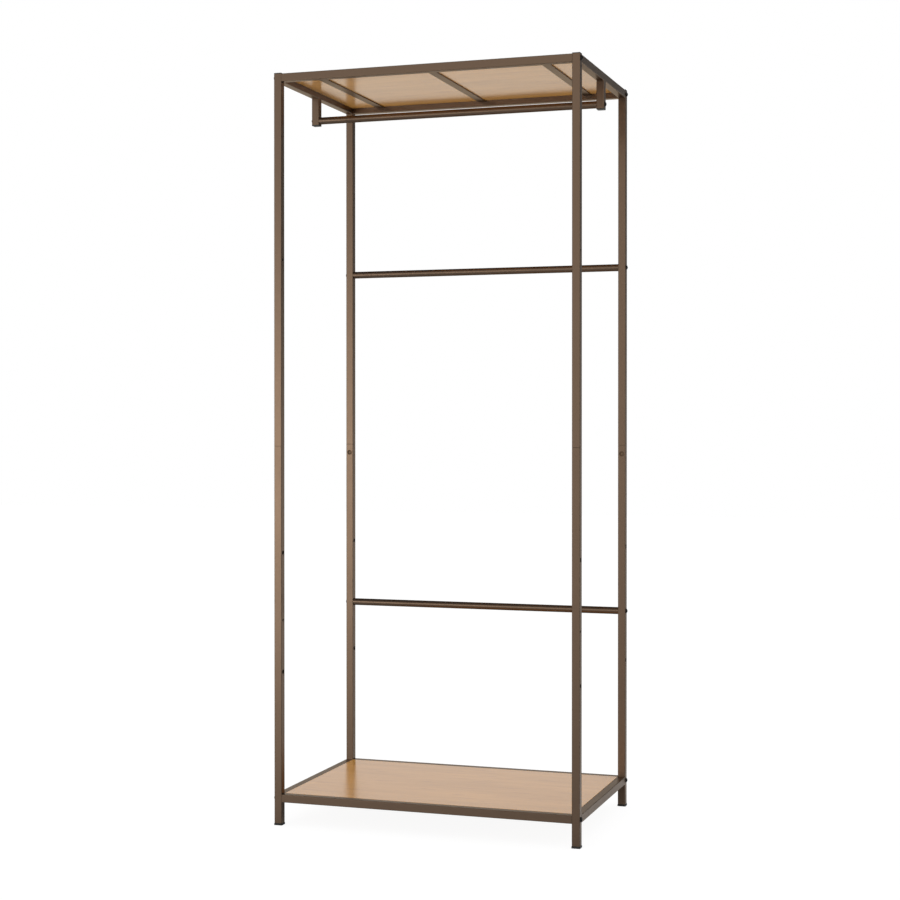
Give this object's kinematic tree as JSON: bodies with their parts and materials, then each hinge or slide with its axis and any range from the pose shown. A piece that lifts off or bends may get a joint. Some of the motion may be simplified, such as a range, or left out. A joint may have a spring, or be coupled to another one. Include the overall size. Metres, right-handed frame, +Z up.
{
  "type": "open frame wardrobe",
  "caption": "Tall open wardrobe of square steel tube with a board top and bottom shelf, rear cross bars and a hanging rod under the top between drop brackets.",
  "frame": {"origin": "on the floor, midway between the four feet", "axes": "+X to the user's right along the hanging rod, +Y from the open front to the rear bars, +Z up"},
  "size_m": [0.7694, 0.49, 1.822],
  "materials": {
    "frame_paint": "satin bronze-brown paint",
    "laminate": "glossy pale oak laminate, grain along X",
    "black_plastic": "moulded",
    "black_fastener": "black coated dome heads",
    "plated_steel": "plated"
  },
  "bodies": {
    "root": {"bottom_crossbar_centre": "frame_paint", "bottom_crossbar_left": "frame_paint", "bottom_crossbar_right": "frame_paint", "bottom_frame_bolts": "black_fastener", "bottom_frame_inserts": "plated_steel", "bottom_rail_front": "frame_paint", "bottom_rail_left": "frame_paint", "bottom_rail_rear": "frame_paint", "bottom_rail_right": "frame_paint", "bottom_shelf": "laminate", "foot_front_left": "black_plastic", "foot_front_right": "black_plastic", "foot_rear_left": "black_plastic", "foot_rear_right": "black_plastic", "hanging_rod": "frame_paint", "hanging_rod_bolts": "black_fastener", "hanging_rod_inserts": "plated_steel", "post_cap_front_left": "black_plastic", "post_cap_front_right": "black_plastic", "post_cap_rear_left": "black_plastic", "post_cap_rear_right": "black_plastic", "post_joiner_front_left": "plated_steel", "post_joiner_front_right": "plated_steel", "post_joiner_rear_left": "plated_steel", "post_joiner_rear_right": "plated_steel", "post_joint_bolts": "frame_paint", "post_lower_front_left": "frame_paint", "post_lower_front_right": "frame_paint", "post_lower_rear_left": "frame_paint", "post_lower_rear_right": "frame_paint", "post_upper_front_left": "frame_paint", "post_upper_front_right": "frame_paint", "post_upper_rear_left": "frame_paint", "post_upper_rear_right": "frame_paint", "rear_bar_bolts": "black_fastener", "rear_bar_inserts": "plated_steel", "rear_bar_lower": "frame_paint", "rear_bar_upper": "frame_paint", "rod_bracket_caps": "black_plastic", "rod_bracket_left": "frame_paint", "rod_bracket_right": "frame_paint", "top_crossbar_centre": "frame_paint", "top_crossbar_left": "frame_paint", "top_crossbar_right": "frame_paint", "top_frame_bolts": "black_fastener", "top_frame_inserts": "plated_steel", "top_panel": "laminate", "top_rail_front": "frame_paint", "top_rail_left": "frame_paint", "top_rail_rear": "frame_paint", "top_rail_right": "frame_paint"}
  },
  "joints": []
}
